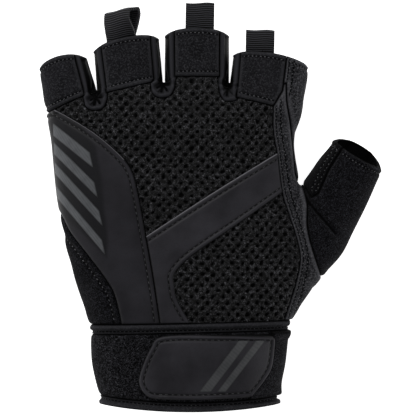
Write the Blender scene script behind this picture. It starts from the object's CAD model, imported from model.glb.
import math
import bpy
import numpy as np
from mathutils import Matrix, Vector
from mathutils.bvhtree import BVHTree


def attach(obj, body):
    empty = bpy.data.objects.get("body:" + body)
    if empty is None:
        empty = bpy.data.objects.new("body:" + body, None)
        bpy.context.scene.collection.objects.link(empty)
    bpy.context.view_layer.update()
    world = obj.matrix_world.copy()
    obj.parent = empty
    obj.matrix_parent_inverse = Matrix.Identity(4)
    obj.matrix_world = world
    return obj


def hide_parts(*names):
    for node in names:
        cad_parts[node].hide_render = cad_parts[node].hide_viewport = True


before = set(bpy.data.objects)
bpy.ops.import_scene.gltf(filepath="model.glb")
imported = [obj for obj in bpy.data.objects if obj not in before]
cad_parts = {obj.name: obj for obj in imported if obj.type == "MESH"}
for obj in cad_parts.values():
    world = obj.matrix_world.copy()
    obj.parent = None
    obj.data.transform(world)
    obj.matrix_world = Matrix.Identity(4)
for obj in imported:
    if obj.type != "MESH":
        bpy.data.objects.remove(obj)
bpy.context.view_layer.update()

# Sizes in mm in the plan of the part's source: wrist seam at y 0, thumb towards +x
hand = {
    "palmWidth": 110, "palmLength": 108.6, "palmThickness": 30, "knuckleArch": 11.5,
    "palmLeft": 0.534, "palmRight": 0.445, "palmSeam": 7,
    "wristWidth": 87.7, "cuffLength": 35.2, "cuffThickness": 33, "cuffArch": 3, "cuffLift": 2.7,
    "hemArch": 2.2, "hemCorner": 0.4, "restX": -4.5, "restY": 42.3,
    "voxel": 0.52, "smooth": 10,
}
handRows = [  # along, left, right, top, lift, bow
    (0, 0, 0, 1.19, 1, 0), (0.08, 0.12, 0.65, 1.19, 0.35, 0), (0.143, 0.28, 1.55, 1.18, 0, 0),
    (0.225, 0.47, 2.3, 1.16, 0, 0), (0.328, 0.67, 1.9, 1.14, 0, 0), (0.451, 0.89, 1.42, 1.11, 0, 0),
    (0.574, 1, 1.02, 1.08, 0, 0), (0.697, 1.09, 0.65, 1.04, 0, 0.03), (0.779, 1.15, 0.5, 1.0, 0, 0.22),
    (0.861, 1.27, 0.68, 0.92, 0, 0.6), (0.918, 1.36, 0.88, 0.8, 0.4, 1),
]
cuffRows = [  # along, left, right, tuck, bow
    (1.2, 0.885, 0.89, 0, -1), (1, 0.9, 0.9, 0, -1), (0.88, 0.915, 0.905, 0.4, -0.75),
    (0.72, 0.945, 0.935, 1, -0.5), (0.4, 0.985, 0.975, 1, -0.1), (0.1, 1, 1, 1, 0),
]
fingerNames = ("root", "rise", "length", "width", "rootWidth", "thickness", "tilt", "skew",
               "leftTip", "leftRoot", "rightTip", "rightRoot", "leftEnd", "rightEnd")
fingerRows = {  # mm and degrees; root, rise and skew are shares, and the rest place the finger back's seams
    "pinky": (-0.487, 0.963, 15.8, 20.8, 22.9, 17.5, -12.9, 0, -1.6, -1.6, 0.58, 0.55, 1.46, 1.11),
    "ring": (-0.2425, 0.975, 22.3, 28.8, 29.2, 19.5, -4.9, 0.11, -0.78, -0.7, 0.77, 0.68, 0.98, 0.85),
    "middle": (0.027, 0.983, 25.4, 28.0, 28.4, 20, 0.3, 0, -0.72, -0.69, 0.72, 0.71, 0.772, 0.772),
    "index": (0.3105, 0.975, 15.2, 33.0, 33.2, 20, 7.5, -0.03, -0.84, -0.78, 0.4, 0.21, 1.28, 1.4),
}
fingers = {name: dict(zip(fingerNames, row)) for name, row in fingerRows.items()}
thumb = {"length": 68.5, "width": 26, "thickness": 24, "across": 0.307, "along": 0.221,
         "rake": 4.4, "hem": 1.6, "hemArch": 2.3, "hemCorner": 0.3,
         "rows": [  # out, up, half, top, lift
             (0, 0, 0.6, 1.2, 0.4), (0.144, 0.131, 0.665, 1.22, 0), (0.275, 0.275, 0.65, 1.18, 0),
             (0.396, 0.455, 0.582, 1.13, 0.4), (0.497, 0.625, 0.535, 1.09, 1.2),
             (0.589, 0.779, 0.485, 1.07, 2)]}
squareness = {"hand": 2.5, "finger": 2.5, "thumb": 2.25, "cuff": 2.3}


def mix(a, b, share):
    return a + (b - a) * share


def spline(points, steps):
    points = np.asarray(points, float)
    ends = np.vstack([points[:1], points, points[-1:]])
    out = []
    for i in range(len(points) - 1):
        p0, p1, p2, p3 = ends[i:i + 4]
        for t in np.arange(steps) / steps:
            out.append(0.5 * (2 * p1 + (p2 - p0) * t + (2 * p0 - 5 * p1 + 4 * p2 - p3) * t * t
                              + (3 * p1 - p0 - 3 * p2 + p3) * t ** 3))
    out.append(points[-1])
    return np.array(out)


def sectionRing(row, sides):
    x, y, turn, half, top, low, arch, corner, skew, rake, square = row
    angle = np.linspace(0, 2 * np.pi, sides, endpoint=False)
    c = np.sign(np.cos(angle)) * np.abs(np.cos(angle)) ** (2 / square)
    s = np.sign(np.sin(angle)) * np.abs(np.sin(angle)) ** (2 / square)
    sag = 0.05 * (top - low)
    z = np.maximum(low, low - sag + (top - low + sag) * (0.5 + 0.5 * s))
    along = arch * (1 - c * c) - corner * np.abs(c) ** 10 + skew * c * half - rake * 0.5 * s
    return np.column_stack([x + c * half * math.cos(turn) + along * math.sin(turn),
                            y - c * half * math.sin(turn) + along * math.cos(turn), z])


def gridFaces(rings, sides):  # quads between closed rings of points
    a = np.arange(rings - 1)[:, None] * sides + np.arange(sides)
    b = np.arange(rings - 1)[:, None] * sides + (np.arange(sides) + 1) % sides
    return np.stack([a, b, b + sides, a + sides], axis=-1).reshape(-1, 4)


def loft(rows, sides=112, steps=5):
    rings = [sectionRing(row, sides) for row in spline(rows, steps)]
    points = np.vstack(rings + [rings[0].mean(0)[None], rings[-1].mean(0)[None]])
    faces = gridFaces(len(rings), sides).tolist()
    first, last, top = len(points) - 2, len(points) - 1, (len(rings) - 1) * sides
    for k in range(sides):
        n = (k + 1) % sides
        faces.append((first, n, k))
        faces.append((last, top + k, top + n))
    return points, faces


def handSections():
    half, rows = hand["wristWidth"] / 2, []
    for along, left, right, tuck, bow in cuffRows:
        rows.append((half * (right - left) / 2 - tuck * hand["cuffLift"] / 2,
                     -along * (hand["cuffLength"] - hand["cuffArch"]), 0,
                     (half * (right + left) - tuck * hand["cuffLift"]) / 2,
                     hand["cuffLift"] + hand["cuffThickness"], hand["cuffLift"],
                     bow * hand["cuffArch"], 0, 0, 0, squareness["cuff"]))
    for along, left, right, top, lift, bow in handRows:
        leftHalf = mix(half, hand["palmWidth"] * hand["palmLeft"], left)
        rightHalf = mix(half, hand["palmWidth"] * hand["palmRight"], right)
        rows.append(((rightHalf - leftHalf) / 2, along * hand["palmLength"], 0,
                     (rightHalf + leftHalf) / 2, top * hand["palmThickness"], lift * hand["cuffLift"],
                     bow * hand["knuckleArch"], 0, 0, 0, squareness["hand"]))
    return rows


def fingerPoint(finger, across, back):
    turn, along = math.radians(finger["tilt"]), finger["length"] - back
    half = mix(finger["rootWidth"], finger["width"], along / finger["length"]) / 2
    return (finger["root"] * hand["palmWidth"] + across * half * math.cos(turn) + along * math.sin(turn),
            finger["rise"] * hand["palmLength"] - across * half * math.sin(turn) + along * math.cos(turn))


def fingerSections(finger):
    wide, thick, length = finger["rootWidth"], finger["thickness"], finger["length"]
    stations = [(length + 24, 0.4 * wide, thick, 0.5), (length + 9, 0.48 * wide, 1.24 * thick, 0.1),
                (length, 0.5 * wide, 1.22 * thick, 0.2),
                (length / 2, 0.5 * mix(finger["width"], wide, 0.5), 1.13 * thick, 0.4),
                (0, 0.5 * finger["width"], 1.06 * thick, 0.6), (-7, 0.5 * finger["width"], 1.04 * thick, 0.6)]
    return [(*fingerPoint(finger, 0, back), math.radians(finger["tilt"]), half, top,
             lift * hand["cuffLift"], 0, 0, 0, 0, squareness["finger"]) for back, half, top, lift in stations]


def thumbSections():
    base = np.array([thumb["across"] * hand["palmWidth"], thumb["along"] * hand["palmLength"]])
    points = base + np.array([row[:2] for row in thumb["rows"]]) * thumb["length"]
    path = spline(points, 20)
    rows = []
    for i, (out, up, half, top, lift) in enumerate(thumb["rows"]):
        ahead = path[min(i * 20 + 1, len(path) - 1)] - path[max(i * 20 - 1, 0)]
        rows.append([points[i][0], points[i][1], math.atan2(ahead[0], ahead[1]), half * thumb["width"],
                     top * thumb["thickness"], lift, 0, 0, 0, 0, squareness["thumb"]])
    end = list(rows[-1])
    end[0] += 8 * math.sin(end[2])
    end[1] += 8 * math.cos(end[2])
    return rows + [end]


def newMesh(name, points, faces):
    mesh = bpy.data.meshes.new(name)
    if isinstance(faces, np.ndarray):
        mesh.vertices.add(len(points))
        mesh.vertices.foreach_set("co", np.asarray(points, np.float32).ravel())
        size = faces.shape[1]
        mesh.loops.add(faces.size)
        mesh.loops.foreach_set("vertex_index", faces.ravel().astype(np.int32))
        mesh.polygons.add(len(faces))
        mesh.polygons.foreach_set("loop_start", np.arange(0, faces.size, size, dtype=np.int32))
        mesh.update(calc_edges=True)
    else:
        mesh.from_pydata([tuple(p) for p in points], [], faces)
    return mesh


def triangles(mesh):
    mesh.calc_loop_triangles()
    points = np.zeros(len(mesh.vertices) * 3, np.float32)
    mesh.vertices.foreach_get("co", points)
    faces = np.zeros(len(mesh.loop_triangles) * 3, np.int32)
    mesh.loop_triangles.foreach_get("vertices", faces)
    return points.reshape(-1, 3).astype(float), faces.reshape(-1, 3)


def modified(points, faces, *modifiers):
    obj = bpy.data.objects.new("work", newMesh("work", points, faces))
    bpy.context.collection.objects.link(obj)
    for kind, settings in modifiers:
        modifier = obj.modifiers.new("step", kind)
        for key, value in settings.items():
            setattr(modifier, key, value)
    done = obj.evaluated_get(bpy.context.evaluated_depsgraph_get())
    result = triangles(done.to_mesh())
    done.to_mesh_clear()
    bpy.data.objects.remove(obj)
    return result


def normalsOf(points, faces):
    a, b, c = (points[faces[:, k]] for k in range(3))
    flat = np.cross(b - a, c - a)
    normals = np.zeros_like(points)
    for k in range(3):
        for axis in range(3):
            normals[:, axis] += np.bincount(faces[:, k], flat[:, axis], len(points))
    return normals / np.maximum(1e-9, np.linalg.norm(normals, axis=1))[:, None]


def tidyMesh(points, faces):  # drops the points that no face uses
    used = np.unique(faces)
    place = np.full(len(points), -1)
    place[used] = np.arange(len(used))
    return points[used], place[faces]


def clip(points, faces, field):  # keeps the part of the triangles where the field is positive
    values = field(points)
    values = np.where(np.abs(values) < 1e-4, 1e-4, values)
    inside = values > 0
    count = inside[faces].sum(1)
    keep, edges = [faces[count == 3]], []
    for wanted, flip in ((1, True), (2, False)):
        some = faces[count == wanted]
        odd = np.argmax(inside[some] == flip, axis=1)
        edges.append((wanted, *(some[np.arange(len(some)), (odd + k) % 3] for k in range(3))))
    pairs = np.vstack([np.sort(np.column_stack([a, other]), axis=1)
                       for _, a, b, c in edges for other in (b, c)])
    if len(pairs) == 0:
        return tidyMesh(points, keep[0])
    unique, where = np.unique(pairs, axis=0, return_inverse=True)
    where, (near, away) = where.ravel(), unique.T
    share = values[near] / (values[near] - values[away])
    cut = points[near] + share[:, None] * (points[away] - points[near])
    start, where = 0, where + len(points)
    for wanted, a, b, c in edges:
        ab, ac = where[start:start + len(a)], where[start + len(a):start + 2 * len(a)]
        start += 2 * len(a)
        corners = [(a, ab, ac)] if wanted == 1 else [(ab, b, c), (ab, c, ac)]
        keep += [np.column_stack(three) for three in corners]
    return tidyMesh(np.vstack([points, cut]), np.vstack(keep))


def nearLine(line):  # a field: distance in plan to an open line
    line = np.asarray(line, float)

    def field(points):
        x, y, best = points[:, 0], points[:, 1], np.full(len(points), 1e9)
        for p, q in zip(line[:-1], line[1:]):
            edge = q - p
            if edge @ edge < 1e-9:
                continue
            share = np.clip(((x - p[0]) * edge[0] + (y - p[1]) * edge[1]) / (edge @ edge), 0, 1)
            best = np.minimum(best, np.hypot(x - p[0] - share * edge[0], y - p[1] - share * edge[1]))
        return best
    return field


def insideOf(outline):  # a field: distance in plan to a closed outline, positive inside it
    closed = np.vstack([outline, outline[:1]]).astype(float)
    distance = nearLine(closed)

    def field(points):
        x, y = points[:, 0], points[:, 1]
        inside = np.zeros(len(points), bool)
        for p, q in zip(closed[:-1], closed[1:]):
            if p[1] != q[1]:
                inside ^= ((p[1] > y) != (q[1] > y)) & (x < p[0] + (q[0] - p[0]) * (y - p[1]) / (q[1] - p[1]))
        away = distance(points)
        return np.where(inside, away, -away)
    return field


def outsideOf(outline, gap=0.3):
    field = insideOf(outline)
    return lambda points: -field(points) - gap


def spots(rows, width, length):
    return [(across * width, along * length) for across, along in rows]


def palmSpots(rows):
    return spots(rows, hand["palmWidth"], hand["palmLength"])


def cuffSpots(rows):
    return spots(rows, hand["wristWidth"], -hand["cuffLength"])


print("building the fine form of the glove")
lofts = [loft(handSections(), 160, 6), loft(thumbSections())]
lofts += [loft(fingerSections(finger)) for finger in fingers.values()]
allPoints, allFaces, start = [], [], 0
for points, faces in lofts:
    allPoints.append(points)
    allFaces += [tuple(v + start for v in face) for face in faces]
    start += len(points)
skinPoints, skinFaces = modified(
    np.vstack(allPoints), allFaces,
    ("REMESH", {"mode": "VOXEL", "voxel_size": hand["voxel"]}),
    ("SMOOTH", {"factor": 0.5, "iterations": hand["smooth"]}))
print("  skin", len(skinPoints), "points,", skinPoints.min(0).round(1), skinPoints.max(0).round(1))


def fingerFrame(points, finger):  # along the stall from its root, and across as a share of its half width
    turn = math.radians(finger["tilt"])
    dx = points[:, 0] - finger["root"] * hand["palmWidth"]
    dy = points[:, 1] - finger["rise"] * hand["palmLength"]
    half = finger["width"] / 2
    return dx * math.sin(turn) + dy * math.cos(turn), (dx * math.cos(turn) - dy * math.sin(turn)) / half


def hemField(points):  # distance inside the six open hems, 12 mm at most
    best, nearest = np.full(len(points), 12.0), np.full(len(points), 9.0)
    for finger in fingers.values():
        along, c = fingerFrame(points, finger)
        side = np.clip(c, -1, 1)
        hem = finger["length"] + hand["hemArch"] * (1 - side * side) - hand["hemCorner"] * np.abs(side) ** 10
        hem += finger["skew"] * side * finger["width"] / 2
        mine = (np.abs(c) < np.minimum(nearest, 1.35)) & (points[:, 1] > 80)
        nearest = np.where(mine, np.abs(c), nearest)
        best = np.where(mine, np.minimum(12, hem - along), best)
    x, y, turn, half, top, low = thumbSections()[-2][:6]
    dx, dy = points[:, 0] - x, points[:, 1] - y
    along = dx * math.sin(turn) + dy * math.cos(turn)
    c = (dx * math.cos(turn) - dy * math.sin(turn)) / half
    s = 2 * points[:, 2] / top - 1
    side = np.clip(c, -1, 1)
    hem = thumb["hem"] + thumb["hemArch"] * (1 - side * side) * (0.5 - 0.5 * s) - 0.5 * thumb["rake"] * s
    hem -= thumb["hemCorner"] * np.abs(side) ** 10
    near = (np.abs(c) < 1.5) & (along > -25) & (points[:, 0] > 50)
    best = np.where(near, np.minimum(best, hem - along), best)
    c = points[:, 0] / (0.45 * hand["wristWidth"])
    hem = -(hand["cuffLength"] - hand["cuffArch"]) - hand["cuffArch"] * (1 - c * c)
    return np.minimum(best, points[:, 1] - hem)


skinPoints, skinFaces = clip(skinPoints, skinFaces, hemField)
skinNormals = normalsOf(skinPoints, skinFaces)
skinTree = BVHTree.FromPolygons([tuple(p) for p in skinPoints], [tuple(f) for f in skinFaces.tolist()])
print("  clipped at the hems:", len(skinFaces), "triangles")


def wobble(points, size, seed):  # smooth noise from -1 to 1 with features of about size mm
    source = np.random.default_rng(seed)
    total = np.zeros(len(points))
    for _ in range(9):
        way = source.normal(size=3)
        way /= np.linalg.norm(way) * size * source.uniform(0.8, 1.5)
        total += np.sin(2 * np.pi * (points @ way) + source.uniform(0, 6.28))
    return total / 4.5


def rimEdges(faces):
    edges = np.vstack([faces[:, [0, 1]], faces[:, [1, 2]], faces[:, [2, 0]]])
    sortedEdges = np.sort(edges, axis=1)
    _, first, counts = np.unique(sortedEdges, axis=0, return_index=True, return_counts=True)
    return edges[first[counts == 1]]


def skirt(points, faces, normals, depth):  # walls the rim down through the cloth
    rim = rimEdges(faces)
    ring = np.unique(rim)
    place = np.full(len(points), -1)
    place[ring] = len(points) + np.arange(len(ring))
    below = place[rim]
    walls = [np.column_stack([rim[:, 1], rim[:, 0], below[:, 0]]),
             np.column_stack([rim[:, 1], below[:, 0], below[:, 1]])]
    return np.vstack([points, points[ring] - normals[ring] * depth]), np.vstack([faces, *walls])


def isoLines(points, faces, normals, values, level, allowed):
    # Chains where values cross level, as lists of points and normals that lie on the cloth
    side = values[faces] > level
    count = side.sum(1)
    links = {}
    for face in faces[(count == 1) | (count == 2)]:
        keys = []
        for a, b in ((face[0], face[1]), (face[1], face[2]), (face[2], face[0])):
            if (values[a] > level) != (values[b] > level):
                keys.append((min(a, b), max(a, b)))
        links.setdefault(keys[0], []).append(keys[1])
        links.setdefault(keys[1], []).append(keys[0])

    def spot(key):
        a, b = key
        share = (level - values[a]) / (values[b] - values[a])
        return [mix(data[a], data[b], share) for data in (points, normals, allowed)]
    lines, seen = [], set()
    ends = [key for key, near in links.items() if len(near) == 1] + list(links)
    for begin in ends:
        if begin in seen:
            continue
        chain, key = [begin], begin
        seen.add(begin)
        while True:
            ahead = [k for k in links[key] if k not in seen]
            if not ahead:
                break
            key = ahead[0]
            seen.add(key)
            chain.append(key)
        run = []
        for key in chain:
            point, normal, free = spot(key)
            if free > 0:
                run.append((point, normal))
            else:
                lines.append(run)
                run = []
        lines.append(run)
    return [run for run in lines if len(run) > 3]


def resample(line, pitch):
    points = np.array([p for p, _ in line])
    normals = np.array([n for _, n in line])
    steps = np.linalg.norm(np.diff(points, axis=0), axis=1)
    along = np.concatenate([[0], np.cumsum(steps)])
    if along[-1] < 2 * pitch:
        return None
    count = int(along[-1] / pitch)
    marks = (np.arange(count) + 0.5) * along[-1] / count
    return tuple(np.column_stack([np.interp(marks, along, data[:, k]) for k in range(3)])
                 for data in (points, normals))


stitch = {"sides": 6, "sink": 0.1, "start": 1.0, "band": 0.22, "marks": 4, "along": 0.08,
          "across": 0.06, "domeSides": 8, "domeTop": 0.08, "domeFoot": 0.22}
stitchNames = ("rows", "pitch", "length", "width", "sway", "slant", "needle", "thread")
stitchRows = {  # rows is how far each row runs from its seam in mm; needle is the width of the holes
    "lock": ([2.2], 2.6, 1.5, 0.5, 0, 0, 0.95, "dark"), "hem": ([2.3], 1.75, 0.95, 0.5, 0, 0.25, 0.75, "pale"),
    "heel": ([3.0], 2.1, 1.1, 0.5, 0, 0.2, 0.8, "pale"), "binding": ([1.0], 1.85, 0.85, 0.4, 0, 0, 1.0, "dark"),
    "zigzag": ([1.25, 3.3], 1.6, 1.1, 0.44, 0.32, 0.7, 0.6, "pale"),
}
stitchKinds = {name: dict(zip(stitchNames, row)) for name, row in stitchRows.items()}


def repeated(faces, count, size):  # the same faces for every copy of a small shape
    return (faces[None] + (np.arange(count) * size)[:, None, None]).reshape(-1, faces.shape[1])


def capsules(places, ways, normals, length, width):  # one short sunk thread per stitch
    ways = ways - normals * np.sum(ways * normals, axis=1)[:, None]
    ways /= np.maximum(1e-9, np.linalg.norm(ways, axis=1))[:, None]
    across = np.cross(normals, ways)
    rings, sides = [(-0.5, 0.25, -0.32), (-0.38, 0.8, -0.08), (-0.15, 1, 0.06), (0.15, 1, 0.06),
                    (0.38, 0.8, -0.08), (0.5, 0.25, -0.32)], stitch["sides"]
    points = []
    for share, wide, lift in rings:
        for k in range(sides):
            angle = 2 * math.pi * k / sides
            points.append(places + ways * (share * length) + normals * (width * (lift + 0.5 * wide * math.sin(angle)))
                          + across * (0.5 * width * wide * math.cos(angle)))
    points = np.stack(points, axis=1)
    return points.reshape(-1, 3), repeated(gridFaces(len(rings), sides), len(places), points.shape[1])


def needleHoles(places, ways, normals, kind):  # a low dark dome where the needle went in between two stitches
    middle = 0.5 * (places[1:] + places[:-1])
    ways, normals, half = ways[1:], normals[1:], 0.5 * kind["needle"]
    across, sides = np.cross(normals, ways), stitch["domeSides"]
    points = [middle + normals * stitch["domeTop"]]
    for k in range(sides):
        angle = 2 * math.pi * k / sides
        points.append(middle - normals * stitch["domeFoot"] + ways * (half * math.cos(angle))
                      + across * (half * math.sin(angle)))
    faces = np.array([(0, 1 + k, 1 + (k + 1) % sides) for k in range(sides)])
    return np.stack(points, axis=1).reshape(-1, 3), repeated(faces, len(middle), sides + 1)


threads = []  # every seam's stitches, gathered here and made into one piece per panel


def sew(lines, kind):
    made, holes = [], []
    for line in lines:
        even = resample(line, kind["pitch"])
        if even is None:
            continue
        places, normals = even
        normals /= np.linalg.norm(normals, axis=1)[:, None]
        ways = np.gradient(places, axis=0)
        ways /= np.maximum(1e-9, np.linalg.norm(ways, axis=1))[:, None]
        side = np.cross(normals, ways)
        jitter = np.random.default_rng(len(places)).normal(size=(len(places), 2))
        turns = np.where(np.arange(len(places)) % 2 == 0, 1, -1)[:, None]
        places = (places + side * (jitter[:, :1] * stitch["across"] + turns * kind["sway"])
                  + ways * (jitter[:, 1:] * stitch["along"]))
        ways = ways * np.cos(turns * kind["slant"]) + side * np.sin(turns * kind["slant"])
        holes.append(needleHoles(places, ways, normals, kind))
        made.append(capsules(places - normals * stitch["sink"], ways, normals, kind["length"], kind["width"]))
    return made, holes


def joined(parts):
    points, faces, start = [], [], 0
    for some, quads in parts:
        points.append(some)
        faces.append(quads + start)
        start += len(some)
    return np.vstack(points), np.vstack(faces)


pieces = {}


def addPiece(name, points, faces, cloth, replaced=(), marks=None, sharp=48):
    material, slotName = cloth
    mesh = newMesh(name, (points + [-hand["restX"], -hand["restY"], 0]) / 1000, faces)
    for key, values in (marks or {}).items():
        mesh.attributes.new(key, "FLOAT", "POINT").data.foreach_set("value", np.asarray(values, np.float32))
    mesh.polygons.foreach_set("use_smooth", np.ones(len(mesh.polygons), bool))
    mesh.set_sharp_from_angle(angle=math.radians(sharp))
    mesh.materials.append(material)
    obj = bpy.data.objects.new(name, mesh)
    bpy.context.collection.objects.link(obj)
    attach(obj, "root")
    if replaced:
        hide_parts(*replaced)
    pieces[name] = obj


def lineField(start, stop):  # distance to the left of a line in plan
    way = np.subtract(stop, start) / np.linalg.norm(np.subtract(stop, start))
    return lambda points: (points[:, 1] - start[1]) * way[0] - (points[:, 0] - start[0]) * way[1]


panel = {"puffOver": 3.5, "foldOver": 4, "groove": 0.6, "band": 0.55, "free": 0.6, "clear": 0.7}


def makePanel(name, look, fields, cloth, replaced, sewn=(), relief=None, thin=None, source=None, cut=None,
              marks=None):
    # sewn pairs a seam, by its place among the fields or as a field of its own, with a kind of stitch
    points, faces = source or (skinPoints, skinFaces)
    points = np.hstack([points, normalsOf(points, faces) if source else skinNormals])
    for field in fields:
        points, faces = clip(points, faces, field)
    points, outward = points[:, :3], points[:, 3:] / np.linalg.norm(points[:, 3:], axis=1)[:, None]
    if thin:
        points, faces = modified(points, faces, ("DECIMATE", {"ratio": thin}))
        outward = normalsOf(points, faces)
    values = [field(points) for field in fields]
    values.append(hemField(points))
    edge = np.maximum(0, np.min(values, axis=0))
    rise = look["rise"] + look["puff"] * (1 - np.exp(-edge / panel["puffOver"]))
    rise -= look["round"] * np.maximum(0, 1 - edge / look["roundWidth"]) ** 2
    rise += look["fold"] * wobble(points, look["foldSize"], len(name)) * np.minimum(1, edge / panel["foldOver"])
    seams, found = [], {f"needle{k}": np.full(len(points), 9.0) for k in range(stitch["marks"])}
    for seam, kind in sewn:
        own = isinstance(seam, int)
        across = values[seam] if own else seam(points)
        others = np.min([v for n, v in enumerate(values) if not own or n != seam % len(values)], axis=0)
        for row in stitchKinds[kind]["rows"]:
            found[f"needle{len(seams)}"] = np.where(others > panel["free"], across - row, 9)
            rise -= look["trough"] * np.exp(-((across - row) / panel["groove"]) ** 2) * (edge > 0.5)
            seams.append((across, row, others - (stitch["start"] if own else panel["clear"]), stitchKinds[kind]))
        middle = 0.5 * stitchKinds[kind]["rows"][0]
        rise += stitch["band"] * np.exp(-((across - middle) / (panel["band"] * middle)) ** 2)
    if relief:
        rise = rise + relief(points, edge, values)
    found["edgeMm"] = edge
    found["cutMm"] = np.full(len(points), 9.0) if cut is None else cut(points)
    found.update({key: mark(points) for key, mark in (marks or {}).items()})
    points = points + outward * rise[:, None]
    normals = normalsOf(points, faces)
    for across, row, allowed, kind in seams:
        threads.append((name, kind["thread"], *sew(isoLines(points, faces, normals, across, row, allowed), kind)))
    walled, walls = skirt(points, faces, outward, look["wall"])
    below = np.ones(len(walled) - len(points))
    found = {key: np.concatenate([values, below * (-1 if key == "edgeMm" else 9)]) for key, values in found.items()}
    addPiece(name, walled, walls, cloth, replaced, found)
    return points, faces


def linear(code):  # sRGB hex to linear colour
    parts = [int(code[k:k + 2], 16) / 255 for k in (1, 3, 5)]
    return [*(p / 12.92 if p <= 0.04045 else ((p + 0.055) / 1.055) ** 2.4 for p in parts), 1]


def addNode(tree, kind, settings=None, links=None):
    # Returns the main output; a setting that is a hex colour is turned to linear, and a mix is of colours
    node = tree.nodes.new("ShaderNode" + kind)
    if kind == "Mix":
        node.data_type = "RGBA"
    for key, value in (settings or {}).items():
        if isinstance(key, str) and hasattr(node, key):
            setattr(node, key, value)
        else:
            node.inputs[key].default_value = linear(value) if isinstance(value, str) else value
    for key, source in (links or {}).items():
        tree.links.new(source, node.inputs[key])
    return node.outputs[2 if kind in ("Mix", "Attribute") else 0] if node.outputs else None


def startMaterial(name, finish):
    # finish holds roughness, IOR, specular and sheen for the Principled shader
    material = bpy.data.materials.new(name)
    material.use_nodes = True
    tree = material.node_tree
    tree.nodes.clear()
    surface = addNode(tree, "BsdfPrincipled", finish)
    addNode(tree, "OutputMaterial", {}, {"Surface": surface})
    place = addNode(tree, "TexCoord").node.outputs["Object"]
    mm = addNode(tree, "Mapping", {"Scale": (1000, 1000, 1000)}, {"Vector": place})
    return material, tree, surface.node, mm


def finishMaterial(tree, shader, colour, height, distance, dark=None, strength=1.0):
    # Colour and relief go to the shader; seam lines and needle rows are darker, because no light gets in
    if dark:
        shades = [("edgeMm", 0.05, 0.55)] + [(f"needle{k}", 0.12, 0.6) for k in range(stitch["marks"])]
        for mark, near, clear in shades:
            away = addNode(tree, "Attribute", {"attribute_name": mark})
            away = addNode(tree, "Math", {"operation": "MAXIMUM" if mark == "edgeMm" else "ABSOLUTE", 1: 0.0},
                           {0: away})
            share = addNode(tree, "MapRange", {1: near, 2: clear}, {0: away})
            colour = addNode(tree, "Mix", {6: dark}, {0: share, 7: colour})
    tree.links.new(colour, shader.inputs["Base Color"])
    bump = addNode(tree, "Bump", {"Distance": distance, "Strength": strength}, {"Height": height})
    tree.links.new(bump, shader.inputs["Normal"])


# Microfibre suede: brushed polyurethane cloth, so matt, with a short nap that shows brushed patches
suedeLook = {"colour": "#121214", "brushed": "#1b1b1e", "fleck": "#444448", "dark": "#030304", "band": 0.3,
             "nap": 0.8, "patch": 9, "height": 0.00025,  # nap drawn coarser than the real 0.2 mm, or it can't show
             "finish": {"Roughness": 0.9, "IOR": 1.45, "Specular IOR Level": 0.08, "Sheen Weight": 0.01,
                        "Sheen Roughness": 0.5}}


def suedeMaterial(name="microfibre_suede", **changes):
    look = {**suedeLook, **changes}
    material, tree, shader, mm = startMaterial(name, look["finish"])
    nap = addNode(tree, "TexNoise", {"Scale": 1 / look["nap"], "Detail": 4, "Roughness": 0.8}, {"Vector": mm})
    patch = addNode(tree, "TexNoise", {"Scale": 1 / look["patch"], "Detail": 3, "Distortion": 0.6}, {"Vector": mm})
    brushed = addNode(tree, "MapRange", {1: 0.35, 2: 0.65}, {0: patch})
    tint = addNode(tree, "Mix", {6: look["colour"], 7: look["brushed"]}, {0: brushed})
    tips = addNode(tree, "MapRange", {1: 0.48, 2: 0.72}, {0: nap})
    flecked = addNode(tree, "Mix", {7: look["fleck"]}, {0: tips, 6: tint})
    edge = addNode(tree, "Attribute", {"attribute_name": "edgeMm"})
    worn = addNode(tree, "MapRange", {1: 2.1, 2: 1.2, 4: look["band"]}, {0: edge})
    flecked = addNode(tree, "Mix", {7: look["fleck"]}, {0: worn, 6: flecked})
    finishMaterial(tree, shader, flecked, nap, look["height"], look["dark"])
    return material


# Coated leather: smooth polyurethane film with a fine pressed grain, a soft gloss and a pale cut edge
leatherLook = {"colour": "#1e1d21", "worn": "#2c2b30", "cut": "#6c6b70", "matt": "#17171a", "dark": "#060607",
               "grain": 0.75, "patch": 14, "height": 0.00005, "cutNear": 0.2, "cutFar": 0.5,
               "finish": {"Roughness": 0.52, "IOR": 1.5, "Specular IOR Level": 0.16}}


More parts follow.
